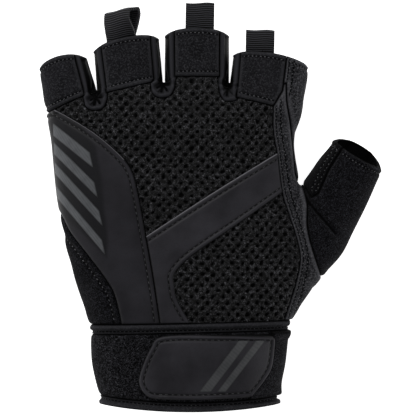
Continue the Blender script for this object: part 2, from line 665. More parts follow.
def leatherMaterial(name="coated_leather", **changes):
    look = {**leatherLook, **changes}
    material, tree, shader, mm = startMaterial(name, look["finish"])
    grain = addNode(tree, "TexVoronoi", {"feature": "SMOOTH_F1", "Scale": 1 / look["grain"], "Smoothness": 0.6},
                    {"Vector": mm})
    patch = addNode(tree, "TexNoise", {"Scale": 1 / look["patch"], "Detail": 4}, {"Vector": mm})
    fine = addNode(tree, "TexNoise", {"Scale": 1.6, "Detail": 3, "Roughness": 0.7}, {"Vector": mm})
    share = addNode(tree, "MapRange", {1: 0.3, 2: 0.7}, {0: patch})
    tint = addNode(tree, "Mix", {6: look["colour"], 7: look["worn"]}, {0: share})
    speck = addNode(tree, "MapRange", {1: 0.55, 2: 0.75, 4: 0.35}, {0: fine})
    tint = addNode(tree, "Mix", {7: look["dark"]}, {0: speck, 6: tint})
    printed = addNode(tree, "Attribute", {"attribute_name": "matt"})
    tint = addNode(tree, "Mix", {7: look["matt"]}, {0: printed, 6: tint})
    height = addNode(tree, "Math", {"operation": "MULTIPLY_ADD", 1: 0.6}, {0: fine, 2: grain})
    finishMaterial(tree, shader, tint, height, look["height"], look["dark"], 0.8)
    sewnTint = shader.inputs["Base Color"].links[0].from_socket
    away = addNode(tree, "Attribute", {"attribute_name": "cutMm"})
    raw = addNode(tree, "MapRange", {1: look["cutFar"], 2: look["cutNear"]}, {0: away})
    edged = addNode(tree, "Mix", {7: look["cut"]}, {0: raw, 6: sewnTint})
    tree.links.new(edged, shader.inputs["Base Color"])
    rough = addNode(tree, "MapRange", {1: 0.3, 2: 0.7, 3: 0.46, 4: 0.6}, {0: patch})
    tree.links.new(rough, shader.inputs["Roughness"])
    return material


# Spacer mesh: knitted polyester with open cells, whose strands catch small lights over dark holes
meshLook = {"strand": "#020202", "lit": "#78787e", "hole": "#010101", "knit": 0.62, "curl": 0.95, "height": 0.0005,
            "finish": {"Roughness": 0.6, "IOR": 1.5, "Specular IOR Level": 0.2, "Sheen Weight": 0.02}}


def spacerMaterial():
    look = meshLook
    material, tree, shader, mm = startMaterial("knitted_spacer_mesh", look["finish"])
    loops = addNode(tree, "TexVoronoi", {"feature": "F1", "Scale": 1 / look["knit"], "Randomness": 0.8},
                    {"Vector": mm})
    curl = addNode(tree, "TexNoise", {"Scale": 1 / look["curl"], "Detail": 4, "Roughness": 0.75, "Distortion": 1.8},
                   {"Vector": mm})
    deep = addNode(tree, "Attribute", {"attribute_name": "hole"})
    tips = addNode(tree, "MapRange", {1: 0.54, 2: 0.66}, {0: curl})
    tint = addNode(tree, "Mix", {6: look["strand"], 7: look["lit"]}, {0: tips})
    dark = addNode(tree, "Mix", {7: look["hole"]}, {0: deep, 6: tint})
    height = addNode(tree, "Math", {"operation": "MULTIPLY_ADD", 1: -0.7}, {0: loops, 2: curl})
    finishMaterial(tree, shader, dark, height, look["height"])
    return material


# Elastane jersey: tightly knitted and pulled tight, so it shines along its rolled rim, with fine ribs
jerseyLook = {"colour": "#070708", "lit": "#0d0d0f", "rim": "#303034", "dark": "#020202", "rib": 0.5,
              "height": 0.00006, "rimStart": 2.3, "rimFull": 1.3,
              "finish": {"Roughness": 0.7, "IOR": 1.5, "Specular IOR Level": 0.08, "Sheen Weight": 0.01}}


def jerseyMaterial():
    look = jerseyLook
    material, tree, shader, mm = startMaterial("elastane_jersey", look["finish"])
    ribs = addNode(tree, "TexWave", {"bands_direction": "X", "Scale": 0.31 / look["rib"], "Distortion": 1.2,
                                     "Detail": 2}, {"Vector": mm})
    patch = addNode(tree, "TexNoise", {"Scale": 0.6, "Detail": 3, "Roughness": 0.7}, {"Vector": mm})
    edge = addNode(tree, "Attribute", {"attribute_name": "edgeMm"})
    share = addNode(tree, "MapRange", {1: 0.4, 2: 0.65}, {0: patch})
    tint = addNode(tree, "Mix", {6: look["colour"], 7: look["lit"]}, {0: share})
    rim = addNode(tree, "MapRange", {1: look["rimStart"], 2: look["rimFull"]}, {0: edge})
    foot = addNode(tree, "Attribute", {"attribute_name": "foot"})
    rim = addNode(tree, "Math", {"operation": "MAXIMUM"}, {0: rim, 1: foot})
    rolled = addNode(tree, "Mix", {7: look["rim"]}, {0: rim, 6: tint})
    finishMaterial(tree, shader, rolled, ribs, look["height"], look["dark"], 0.7)
    return material


# Terry and loop pile: uncut loops of textured polyester, matt, that read as small curls
terryLook = {"colour": "#060607", "tip": "#44444b", "dark": "#040405", "loop": 1.0, "height": 0.0007,
             "finish": {"Roughness": 0.95, "IOR": 1.45, "Specular IOR Level": 0.06, "Sheen Weight": 0.02,
                        "Sheen Roughness": 0.45}}


def terryMaterial(name="terry_pile", **changes):
    look = {**terryLook, **changes}
    material, tree, shader, mm = startMaterial(name, look["finish"])
    curls = addNode(tree, "TexVoronoi", {"feature": "DISTANCE_TO_EDGE", "Scale": 1 / look["loop"]}, {"Vector": mm})
    warp = addNode(tree, "TexNoise", {"Scale": 1 / look["loop"], "Detail": 4, "Roughness": 0.78, "Distortion": 2.2},
                   {"Vector": mm})
    height = addNode(tree, "Math", {"operation": "MULTIPLY_ADD", 1: 0.8}, {0: curls, 2: warp})
    tips = addNode(tree, "MapRange", {1: 0.49, 2: 0.67}, {0: warp})
    tint = addNode(tree, "Mix", {6: look["colour"], 7: look["tip"]}, {0: tips})
    finishMaterial(tree, shader, tint, height, look["height"], look["dark"])
    return material


# Grosgrain webbing: woven polyester with crosswise ribs, a little shiny on the crown of each rib
webbingLook = {"colour": "#020202", "lit": "#3e3e43", "thread": 0.35, "height": 0.00005,
               "finish": {"Roughness": 0.6, "IOR": 1.5, "Specular IOR Level": 0.18}}


def webbingMaterial():
    look = webbingLook
    material, tree, shader, mm = startMaterial("grosgrain_webbing", look["finish"])
    weave = addNode(tree, "TexWave", {"bands_direction": "X", "Scale": 0.31 / look["thread"], "Distortion": 0.8},
                    {"Vector": mm})
    rib = addNode(tree, "Attribute", {"attribute_name": "rib"})
    crown = addNode(tree, "MapRange", {1: 0.35, 2: 0.95}, {0: rib})
    tint = addNode(tree, "Mix", {6: look["colour"], 7: look["lit"]}, {0: crown})
    finishMaterial(tree, shader, tint, weave, look["height"], None, 0.8)
    return material


# Thermoplastic film: grey strips welded on, smooth, with a faint slanting weave pressed through them
filmLook = {"colour": "#5d5f62", "faint": "#4c4e51", "dark": "#2c2d2f", "line": 0.9, "height": 0.00003,
            "finish": {"Roughness": 0.5, "IOR": 1.5, "Specular IOR Level": 0.25}}


def filmMaterial(name="welded_film", **changes):
    look = {**filmLook, **changes}
    material, tree, shader, mm = startMaterial(name, look["finish"])
    lines = addNode(tree, "TexWave", {"bands_direction": "DIAGONAL", "Scale": 0.31 / look["line"], "Distortion": 0.4},
                    {"Vector": mm})
    patch = addNode(tree, "TexNoise", {"Scale": 0.25, "Detail": 4}, {"Vector": mm})
    both = addNode(tree, "Math", {"operation": "MULTIPLY_ADD", 1: 0.25}, {0: lines, 2: patch})
    share = addNode(tree, "MapRange", {1: 0.4, 2: 0.9}, {0: both})
    tint = addNode(tree, "Mix", {6: look["colour"], 7: look["faint"]}, {0: share})
    finishMaterial(tree, shader, tint, lines, look["height"], look["dark"], 0.6)
    return material


# Bonded polyester thread: twisted and waxed, so each stitch has a small bright crown
threadLook = {"colour": "#2b2b2e", "lit": "#6c6c71", "twist": 0.5, "height": 0.00008,
              "finish": {"Roughness": 0.45, "IOR": 1.5, "Specular IOR Level": 0.4}}


def threadMaterial(name="bonded_thread", **changes):
    look = {**threadLook, **changes}
    material, tree, shader, mm = startMaterial(name, look["finish"])
    twist = addNode(tree, "TexWave", {"bands_direction": "DIAGONAL", "Scale": 0.31 / look["twist"]}, {"Vector": mm})
    tint = addNode(tree, "Mix", {6: look["colour"], 7: look["lit"]}, {0: twist})
    finishMaterial(tree, shader, tint, twist, look["height"], None, 0.8)
    return material


# Each cloth is a material and the slot that it fills
suede, leather = (suedeMaterial(), "suede"), (leatherMaterial(), "smooth_leather")
spacer, jersey = (spacerMaterial(), "spacer_mesh"), (jerseyMaterial(), "stretch_cloth")
terry, webbing, film = (terryMaterial(), "towelling"), (webbingMaterial(), "webbing"), (filmMaterial(), "grey_print")
threadKinds = {"pale": (threadMaterial(), "webbing"),
               "dark": (threadMaterial("dyed_bonded_thread", colour="#19191b", lit="#3f3f43"), "webbing")}
bandLeather = leatherMaterial("thick_coated_leather", colour="#262529", worn="#36353a"), "smooth_leather"
stripSuede = suedeMaterial("brushed_microfibre_suede", colour="#161618", brushed="#242427", fleck="#6c6c71"), "suede"
pile = terryMaterial("loop_pile", loop=1.2, colour="#050506", tip="#54545a"), "towelling"
brushedPile = terryMaterial("brushed_loop_pile", loop=1.0, colour="#0e0e10", tip="#4a4a4f"), "towelling"
innerThumb = terryMaterial("thumb_jersey", loop=0.7, colour="#060607", tip="#26262a"), "stretch_cloth"
tricot = terryMaterial("tricot_lining", loop=0.9, colour="#030303", tip="#26262a"), "stretch_cloth"
faintFilm = filmMaterial("faint_welded_film", colour="#4d4e50", faint="#404143"), "grey_print"
print("materials made:", len(bpy.data.materials))

# Seams over the back of the hand, as shares of the palm's width and length
sideLine = spline(palmSpots([
    (-0.575, 0.915), (-0.536, 0.897), (-0.388, 0.807), (-0.275, 0.709), (-0.231, 0.647), (-0.207, 0.557),
    (-0.18, 0.41), (-0.146, 0.217), (-0.117, 0.02)]), 6)
heelLine = spline(palmSpots([
    (-0.6, 0.56), (-0.5275, 0.4876), (-0.477, 0.397), (-0.398, 0.295), (-0.332, 0.205), (-0.298, 0.14),
    (-0.27, 0.02)]), 6)
indexLine = spline(palmSpots([
    (0.336, 0.93), (0.336, 0.82), (0.35, 0.727), (0.37, 0.57), (0.398, 0.477), (0.4317, 0.3647),
    (0.443, 0.295), (0.4317, 0.217), (0.4086, 0.135), (0.372, 0.02)]), 6)
thumbLine = spline(palmSpots([
    (0.39, 1.012), (0.3924, 0.932), (0.4086, 0.84), (0.4228, 0.717), (0.43, 0.635), (0.455, 0.585),
    (0.472, 0.51), (0.472, 0.432), (0.4879, 0.352), (0.533, 0.221), (0.58, 0.12)]), 6)
bandTop = spline(palmSpots([(-0.19, 0.374), (0.08, 0.553), (0.37, 0.735)]), 6)
bandFoot = spline(palmSpots([
    (0.39, 0.578), (0.202, 0.4425), (0.012, 0.31), (-0.0587, 0.238), (-0.062, 0.19), (-0.047, 0.124),
    (0.012, 0.02)]), 8)
webLine = palmSpots([(0.45, 0.6), (0.45, 0.8), (0.9, 1.05)])
binding = {"width": 4, "slant": 2, "share": 0.35, "far": 176}
gap, beyond = 0.3, 16  # between two panels, and past a hem, in mm


def fingerBackOutline(finger):
    length, tip, root = finger["length"], finger["leftTip"], finger["leftRoot"]
    corners = [(tip, -beyond), (tip, 0), (root, finger["leftEnd"] * length),
               (finger["rightRoot"], finger["rightEnd"] * length),
               (finger["rightTip"], 0.92 * min(finger["rightEnd"], 1) * length), (finger["rightTip"], -beyond)]
    return [fingerPoint(finger, across, back) for across, back in corners]


def gussetOutline(left, right, fall):  # a narrow U that hangs from the inner corners of two finger backs
    start = np.array(fingerPoint(left, left["rightRoot"] - 0.03, left["rightEnd"] * left["length"]))
    stop = np.array(fingerPoint(right, right["leftRoot"] + 0.03, right["leftEnd"] * right["length"]))
    bottom = (start[1] + stop[1]) / 2 - fall
    curve = []
    for turn in np.linspace(math.pi, 0, 21):
        side, fall = 0.5 + 0.5 * math.copysign(abs(math.cos(turn)) ** 0.75, math.cos(turn)), math.sin(turn) ** 0.75
        top = start[1] if turn > math.pi / 2 else stop[1]
        curve.append((mix(start[0], stop[0], side), mix(top, bottom, fall)))
    return [fingerPoint(left, 0, -beyond), fingerPoint(left, 0, 0.5 * left["length"]), *curve,
            fingerPoint(right, 0, 0.5 * right["length"]), fingerPoint(right, 0, -beyond)]


def wristField(height):  # distance above a line that slants up towards the thumb
    def field(points):
        share = np.clip(points[:, 0] / hand["wristWidth"] + 0.5, 0, 1)
        return points[:, 1] - height - binding["slant"] * share
    return field


def hemLine(height):  # distance above a line that keeps a height over the cuff's curved hem
    def field(points):
        share = np.clip(points[:, 0] / (0.5 * hand["wristWidth"]), -1, 1)
        return points[:, 1] - height + hand["cuffLength"] - hand["cuffArch"] * share * share
    return field


def opposite(field):
    return lambda points: -field(points)


far, foot = binding["far"], binding["share"] * binding["width"]
aboveWrist = wristField(binding["width"] - foot + gap)
backOnly = lambda points: points[:, 2] - hand["palmSeam"]
frontOnly = lambda points: hand["palmSeam"] - gap - points[:, 2]
onBack = [aboveWrist, backOnly]
sideZone = [(-far, sideLine[0][1]), *sideLine, (sideLine[-1][0], -far), (-far, -far)]
heelZone = [(-far, heelLine[0][1]), *heelLine, (heelLine[-1][0], -far), (-far, -far)]
stripZone = [fingerPoint(fingers["index"], 0.2, fingers["index"]["length"]), *indexLine,
             (indexLine[-1][0], -far), (far, -far), (far, thumbLine[-1][1]), *thumbLine[::-1]]
aboveWeb = [tuple(p) for p in thumbLine if p[1] >= webLine[0][1]]
belowWeb = [tuple(p) for p in thumbLine if p[1] < webLine[0][1]]
thumbZone = [*belowWeb[::-1], *webLine, (far, far), (far, belowWeb[-1][1])]
indexSideZone = [*aboveWeb, *webLine, (far, far), fingerPoint(fingers["index"], 0, -beyond),
                 fingerPoint(fingers["index"], 0, fingers["index"]["length"])]
bandZone = [*bandTop, *palmSpots([(0.41, 0.76), (0.41, 0.592)]), *bandFoot, (bandFoot[-1][0], -far),
            (-0.3 * hand["palmWidth"], -far), *palmSpots([(-0.3, 0.37)])]
fingerZones = {name: fingerBackOutline(finger) for name, finger in fingers.items()}
gussetPairs = [("pinky", "ring", 7.4), ("ring", "middle", 8.35), ("middle", "index", 6.5)]
gussetZones = [gussetOutline(fingers[a], fingers[b], fall) for a, b, fall in gussetPairs]


def thumbPoint(across, share):
    rows = thumbSections()[:-1]
    place = share * (len(rows) - 1)
    low = min(len(rows) - 2, int(place))
    x, y, turn, half = (mix(rows[low][k], rows[low + 1][k], place - low) for k in range(4))
    return x + across * half * math.cos(turn), y - across * half * math.sin(turn)


thumbGussetZone = [thumbPoint(-0.66, 1.3), thumbPoint(-0.62, 1), thumbPoint(-0.58, 0.8),
                   *palmSpots([(0.515, 0.562), (0.489, 0.545), (0.454, 0.6), (0.454, 0.8)]), thumbPoint(-1.6, 1.3)]

# Finger backs: suede panels with a turned hem and a row of stitches near both ends
fingerBackLook = {"rise": 0.1, "puff": 0.5, "round": 0.6, "roundWidth": 1.1, "fold": 0.25, "foldSize": 11,
                  "trough": 0.35, "wall": 1.4}
print("finger backs and gussets")
for name, finger in fingers.items():
    outline = fingerZones[name]
    makePanel(f"finger_back_{name}_suede", fingerBackLook,
              [*onBack, insideOf(outline), lineField(outline[2], outline[3])], suede,
              [f"finger_back_{name}"], sewn=((3, "hem"), (4, "hem")))

# Fourchettes: shiny jersey between the fingers, gathered into puckers round the foot of each slot
gussetLook = {"rise": -0.2, "puff": 0, "round": 0.6, "roundWidth": 0.9, "fold": 0.15, "foldSize": 9,
              "trough": 0, "wall": 1.2, "pucker": 0.5, "puckers": 7, "creases": (-0.55, 0.02, 0.6),
              "roll": 0.75, "rollAt": 1.15, "rollWidth": 0.75, "sink": 1.1, "crotch": 6.2,
              "puckerAt": 4, "puckerWidth": 2.2, "sinkReach": 7, "creaseLength": 4.6, "footReach": 5.2,
              "footShare": 0.8}
for zone, (a, b, fall) in zip(gussetZones, gussetPairs):
    crotch = np.array(zone[12]) + [0, gussetLook["crotch"]]

    def gathers(points, edge, values, crotch=crotch):
        look = gussetLook
        dx, dy = (points[:, :2] - crotch).T
        away = np.hypot(dx, dy)
        near = np.exp(-((away - look["puckerAt"]) / look["puckerWidth"]) ** 2) * (dy < 2)
        rim = look["roll"] * np.exp(-((edge - look["rollAt"]) / look["rollWidth"]) ** 2)
        inside = look["sink"] * np.clip((edge - look["rollAt"]) / 2, 0, 1) * np.exp(-(away / look["sinkReach"]) ** 4)
        return rim - inside + look["pucker"] * near * np.sin(look["puckers"] * np.arctan2(dx, -dy))

    def creases(points, crotch=crotch):  # three dark gathers that fan out from the foot of the slot
        away, best = points[:, :2] - crotch, np.full(len(points), 9.0)
        for angle in gussetLook["creases"]:
            way = np.array([math.sin(angle), -math.cos(angle)])
            along, across = away @ way, np.abs(away[:, 0] * way[1] - away[:, 1] * way[0])
            there = (along > 0) & (along < gussetLook["creaseLength"])
            best = np.where(there, np.minimum(best, across * (0.5 + 0.25 * along)), best)
        return best

    def footOf(points, crotch=crotch):  # the gathered foot is doubled cloth, as pale as the rolled rim
        away = points[:, :2] - crotch
        near = np.exp(-(np.linalg.norm(away, axis=1) / gussetLook["footReach"]) ** 4)
        return gussetLook["footShare"] * near * np.clip(-away[:, 1] / 1.5, 0, 1)
    makePanel(f"gusset_{a}_{b}_jersey", gussetLook,
              [*onBack, insideOf(zone), outsideOf(fingerZones[a]), outsideOf(fingerZones[b])],
              jersey, [f"gusset_{a}_{b}"], relief=gathers, marks={"needle3": creases, "foot": footOf})

print("thumb side of the back")
sideSuedeLook = {**fingerBackLook, "puff": 0.6, "fold": 0.3}
makePanel("index_side_suede", sideSuedeLook,
          [*onBack, insideOf(indexSideZone), outsideOf(fingerZones["index"]), outsideOf(thumbZone)],
          stripSuede, ["index_side"], sewn=((3, "zigzag"), (-1, "hem")))
makePanel("index_strip_suede", sideSuedeLook,
          [*onBack, insideOf(stripZone), outsideOf(fingerZones["index"]), outsideOf(thumbZone),
           outsideOf(indexSideZone)], stripSuede, ["index_strip"], sewn=((nearLine(indexLine), "zigzag"),))

# Side panel: thin coated leather laid over the cloth, with a raw cut edge on its right
print("little-finger side")
sideLook = {"rise": 0.6, "puff": 0.35, "round": 0.35, "roundWidth": 0.9, "fold": 0.22, "foldSize": 30,
            "trough": 0.35, "wall": 1.7}
mattZone = palmSpots([(-0.7, 0.95), (-0.47, 0.9), (-0.375, 0.745), (-0.352, 0.62), (-0.34, 0.49), (-0.325, 0.37),
                      (-0.33, 0.3), (-0.45, 0.42), (-0.7, 0.6)])
sideSkin = makePanel(
    "side_panel_leather", sideLook,
    [*onBack, insideOf(sideZone), outsideOf(fingerZones["pinky"]), outsideOf(heelZone)],
    leather, ["side_panel"], sewn=((2, "lock"), (3, "lock")),
    cut=lambda points: np.minimum(nearLine(sideLine[:20])(points), nearLine(heelLine)(points)) + 0.12,
    marks={"matt": lambda points: np.clip(0.5 + insideOf(mattZone)(points) / 1.5, 0, 1)})

# Welded film stripes that run off the side of the hand, each with a steep cut end
stripeLook = {"rise": 0.16, "puff": 0.05, "round": 0.1, "roundWidth": 0.5, "fold": 0, "foldSize": 9, "trough": 0,
              "wall": 0.35, "drop": 7, "cut": 1.6, "above": 20,
              "rows": [(-0.4, 0.725, 0.8), (-0.381, 0.604, 0.98), (-0.361, 0.488, 1.08), (-0.35, 0.371, 1.16)]}
for number, (across, along, slope) in enumerate(stripeLook["rows"]):
    x, y = across * hand["palmWidth"], along * hand["palmLength"]
    run, drop, cut = 0.3 * hand["palmWidth"], stripeLook["drop"], stripeLook["cut"]
    outline = [(x, y), (x - run, y + run * slope), (x + cut - run, y - drop + run * slope), (x + cut, y - drop)]
    makePanel(f"side_stripe_{number + 1}_film", stripeLook,
              [insideOf(outline), lambda points: points[:, 2] - stripeLook["above"]], film,
              [f"side_stripe_{number + 1}"], source=sideSkin)
heelLook = {**fingerBackLook, "puff": 0.7, "fold": 0.4, "foldSize": 14}
makePanel("heel_panel_terry", heelLook, [*onBack, insideOf(heelZone)], terry, ["heel_panel"], sewn=((2, "heel"),))

# Spacer mesh: one piece under the band, with its open cells cut deep on a diagonal grid
print("spacer mesh and cross band")
spacerLook = {"step": 0.34, "across": 4.5, "along": 5.0, "hole": 0.76, "soft": 0.26,
              "stretch": 0.25, "depth": 1.4, "strand": 0.34, "puff": 0.45, "wall": 1.3, "warp": 0.45,
              "shake": 0.25, "strandWidth": 1.75}
bandFields = [aboveWrist, insideOf(bandZone), outsideOf(sideZone), outsideOf(stripZone)]


def makeSpacer():
    look = spacerLook
    xs, ys = np.arange(-62, 50, look["step"]), np.arange(2, 116, look["step"])
    gridX, gridY = np.meshgrid(xs, ys)
    plan = np.column_stack([gridX.ravel(), gridY.ravel(), np.zeros(gridX.size)])
    fields = [aboveWrist, outsideOf(sideZone), outsideOf(stripZone), outsideOf(thumbZone), outsideOf(indexSideZone)]
    fields += [outsideOf(zone) for zone in [*fingerZones.values(), *gussetZones]]
    fields.append(lambda points: 1.5 - np.min([field(points) for field in bandFields], axis=0))
    values = np.array([field(plan) for field in fields])
    wanted = values.min(0) > -0.8
    for k in np.nonzero(wanted)[0]:
        hit = skinTree.ray_cast(Vector((plan[k, 0], plan[k, 1], 90)), Vector((0, 0, -1)))[0]
        if hit is None or hit.z < hand["palmThickness"] / 2:
            wanted[k] = False
        else:
            plan[k, 2] = hit.z
    index = np.arange(gridX.size).reshape(gridX.shape)
    a, b, c, d = index[:-1, :-1], index[:-1, 1:], index[1:, 1:], index[1:, :-1]
    faces = np.vstack([np.column_stack([a.ravel(), b.ravel(), c.ravel()]),
                       np.column_stack([a.ravel(), c.ravel(), d.ravel()])])
    faces = faces[wanted[faces].all(1)]
    points, faces = tidyMesh(plan, faces)
    for field in fields:
        points, faces = clip(points, faces, field)
    edge = np.clip(np.min([field(points) for field in fields], axis=0), 0, 9)
    normals = normalsOf(points, faces)
    x = points[:, 0] + look["warp"] * wobble(points, 9, 3) + look["shake"] * wobble(points, 2.4, 5)
    y = points[:, 1] + look["warp"] * wobble(points, 11, 4) + look["shake"] * wobble(points, 2.1, 6)
    away = np.full(len(points), 9.0)
    columns = x / look["across"] - look["stretch"] * np.sin(2 * np.pi * (x + 12) / 90)  # wider over the middle
    for shift in (0, 0.5):
        dx = (columns + shift) % 1 - 0.5
        dy = (y / look["along"] + shift) % 1 - 0.5
        away = np.minimum(away, np.hypot(dx * look["across"], dy * look["along"]))
    size = look["hole"] * (1 + 0.25 * wobble(points, 6, 8))
    hole = np.clip((size + look["soft"] - away) / (2 * look["soft"]), 0, 1)
    hole = hole * hole * (3 - 2 * hole) * np.clip(edge / 0.8, 0, 1)
    strands = look["strand"] * np.cos(2 * np.pi * away / look["strandWidth"]) * np.clip((away - 0.5) / 0.6, 0, 1)
    knit = 0.16 * wobble(points, 1.1, 11) + 0.1 * wobble(points, 0.8, 12)
    rise = look["puff"] * (1 - np.exp(-edge / 3)) - 0.4 * np.maximum(0, 1 - edge / 1.2) ** 2
    points = points + normals * (rise + strands + knit - look["depth"] * hole)[:, None]
    walled, walls = skirt(points, faces, normals, look["wall"])
    below = np.ones(len(walled) - len(points))
    addPiece("spacer_mesh_back", walled, walls, spacer, ["mesh_back"],
             {"hole": np.concatenate([hole, below])}, sharp=75)


makeSpacer()
bandLook = {"rise": 0.95, "puff": 0.35, "round": 0.28, "roundWidth": 0.8, "fold": 0.15, "foldSize": 30,
            "trough": 0.4, "wall": 1.0}
makePanel("cross_band_leather", bandLook, [*bandFields, backOnly], bandLeather,
          ["cross_band"], sewn=((1, "lock"),), cut=nearLine(bandTop))

# Thumb: terry, with a turned hem and a sewn tuck across its root
print("thumb")
thumbLook = {"rise": 0.1, "puff": 0.6, "round": 0.8, "roundWidth": 1.8, "fold": 0.5, "foldSize": 16,
             "trough": 0.45, "wall": 1.5, "creaseDepth": 1.4, "creaseWidth": 1.1, "creaseLength": 24,
             "creaseTurn": 40, "lip": 0.55, "lipAt": 2.6, "lipWidth": 1.4}
creaseStart = np.array(thumbPoint(-0.72, 0.57))
creaseTurn = math.radians(thumbLook["creaseTurn"])


def alongTuck(points):
    away = points[:, :2] - creaseStart
    along = away @ np.array([math.sin(creaseTurn), -math.cos(creaseTurn)])
    return along, away @ np.array([math.cos(creaseTurn), math.sin(creaseTurn)])


def tuck(points, edge, values):
    along, across = alongTuck(points)
    there = np.clip((along + 2) / 3, 0, 1) * np.clip((thumbLook["creaseLength"] - along) / 5, 0, 1)
    there *= points[:, 2] > hand["palmSeam"]
    groove = np.exp(-(across / thumbLook["creaseWidth"]) ** 2)
    lips = np.exp(-((np.abs(across) - thumbLook["lipAt"]) / thumbLook["lipWidth"]) ** 2)
    return there * (thumbLook["lip"] * lips - thumbLook["creaseDepth"] * groove)


def tuckLine(points):
    along, across = alongTuck(points)
    there = (along > -1) & (along < thumbLook["creaseLength"] - 2) & (points[:, 2] > hand["palmSeam"])
    return np.where(there, across * 0.7, 9)


def offGusset(points):  # outside the inner strip, which the palm side hasn't got
    return np.maximum(outsideOf(thumbGussetZone)(points), frontOnly(points))


makePanel("thumb_terry", thumbLook, [insideOf(thumbZone), offGusset], terry, ["thumb_panel"],
          sewn=((-1, "hem"),), relief=tuck, marks={"needle3": tuckLine})
makePanel("thumb_gusset_jersey", {**gussetLook, "trough": 0.25},
          [backOnly, insideOf(thumbZone), insideOf(thumbGussetZone)], innerThumb, ["thumb_gusset"],
          sewn=((nearLine(thumbGussetZone[:4]), "zigzag"), (-1, "hem")))

# Palm: plain suede, coarser than the back because nothing on it is fine
print("palm and lining")
palmLook = {"rise": 0, "puff": 0.2, "round": 0.5, "roundWidth": 1.5, "fold": 0, "foldSize": 20, "trough": 0.3,
            "wall": 1.4, "keep": 0.35}
makePanel("palm_suede", palmLook, [frontOnly, aboveWrist, outsideOf(thumbZone)], suede, ["palm_panel"],
          thin=palmLook["keep"])

# Cuff: a loop-pile band between two rolled bindings
print("cuff")
bindingLook = {"rise": 0.15, "puff": 0.1, "round": 0, "roundWidth": 1, "fold": 0.12, "foldSize": 7, "trough": 0.25,
               "wall": 1.6, "roll": 1.1, "flange": 1.6, "narrowFrom": 43.4, "narrow": 0.9}


def roll(points, edge, values):  # a rolled crown above a flat flange, where the row of stitches runs
    share = np.clip((values[0] - bindingLook["flange"]) / (binding["width"] - bindingLook["flange"]), 0, 1)
    return bindingLook["roll"] * np.sqrt(1 - (2 * share - 1) ** 2) - 0.4


def wristRoll(points, edge, values):  # the hand flares above the wrist, but the binding stays narrow
    flare = np.clip(np.abs(points[:, 0]) - bindingLook["narrowFrom"], 0, 2.5)
    return roll(points, edge, values) - bindingLook["narrow"] * flare


belowBinding = opposite(wristField(-foot - gap))
makePanel("cuff_top_binding_suede", bindingLook,
          [wristField(-foot), opposite(wristField(binding["width"] - foot))], suede,
          ["cuff_top_binding"], relief=wristRoll, sewn=((0, "binding"),))
cuffLook = {"rise": 0, "puff": 0.2, "round": 0.5, "roundWidth": 1.5, "fold": 0.35, "foldSize": 12, "trough": 0,
            "wall": 1.4}
makePanel("cuff_band_pile", cuffLook, [belowBinding, hemLine(binding["width"] + gap)], pile, ["cuff_band"])
makePanel("cuff_bottom_binding_suede", bindingLook, [opposite(hemLine(binding["width"]))], suede,
          ["cuff_bottom_binding"], relief=roll, sewn=((0, "binding"),))

# Closure: a leather tab over the cuff, and the pile wrap that it is sewn to
print("closure")
tabPlaces = [(0.421, 0.03), (0.16, 0.037), (-0.129, 0.05), (-0.193, 0.2), (-0.245, 0.52), (-0.245, 0.68),
             (-0.208, 0.8), (-0.148, 0.835), (0.05, 0.845), (0.307, 0.82)]
borderLine = spline(cuffSpots([(0.307, 0.82), (0.37, 0.6), (0.406, 0.41), (0.421, 0.03)]), 5)
tabZone = [*spline(cuffSpots(tabPlaces), 6), *borderLine[1:-1]]
cuffMiddle = hand["cuffLift"] + hand["cuffThickness"] / 2
wrapTop, wrapFoot = binding["slant"] - foot - gap, binding["width"] + gap - hand["cuffLength"] + hand["cuffArch"]
wristEdge = hand["wristWidth"] / 2
overCuff = lambda points: points[:, 2] - cuffMiddle
tabLook = {"rise": 2.2, "puff": 0.5, "round": 0.6, "roundWidth": 1.1, "fold": 0.25, "foldSize": 22, "trough": 0.4,
           "wall": 1.9}
tabSkin = makePanel("closure_tab_leather", tabLook, [overCuff, insideOf(tabZone)], bandLeather, ["closure_tab"],
                    sewn=((1, "lock"),))
wrapLook = {"rise": 2.3, "puff": 0.4, "round": 0.35, "roundWidth": 1.0, "fold": 0.2, "foldSize": 14, "trough": 0.3,
            "wall": 1.9, "underlap": 1.0, "endFrom": 42.6, "endFall": 0.8, "lap": 42}
lapEnd = wristEdge - wrapLook["lap"]
wrapZone = [*borderLine[::-1], (borderLine[0][0], -far), (far, -far), (far, far), (borderLine[-1][0], far)]
wrapUnder = [(lapEnd, 0.74 * -hand["cuffLength"]), (wristEdge, wrapFoot), (far, wrapFoot), (far, wrapTop),
             (wristEdge, wrapTop), (lapEnd, -2)]


def wrapSides(points):  # over the cuff it ends at the bindings and the tab's border, under it at the lap
    front = np.min([insideOf(wrapZone)(points) + wrapLook["underlap"], belowBinding(points),
                    hemLine(binding["width"] + gap)(points)], axis=0)
    return np.where(overCuff(points) > 0, front, insideOf(wrapUnder)(points))


def besideTab(points):  # a little under the tab's edge, so that no slot shows between the two
    return np.where(overCuff(points) > 0, outsideOf(tabZone)(points) + wrapLook["underlap"], 9)


def wrapEnd(points, edge, values):  # thinner where it turns round the edge of the wrist
    return -wrapLook["endFall"] * np.clip(points[:, 0] - wrapLook["endFrom"], 0, 2)


makePanel("closure_wrap_pile", wrapLook, [wrapSides, besideTab], brushedPile, ["closure_wrap"], relief=wrapEnd)
for number, (topLeft, topRight, footLeft, footRight) in enumerate(
        [(0.2385, 0.294, 0.0457, 0.1065), (0.3247, 0.373, 0.135, 0.18)]):
    outline = cuffSpots([(topLeft + 0.006, 0.105), (topRight + 0.006, 0.105), (footRight, 0.745), (footLeft, 0.745)])
    makePanel(f"tab_stripe_{number + 1}_film", stripeLook, [insideOf(outline)], faintFilm,
              [f"tab_stripe_{number + 1}"], source=tabSkin)

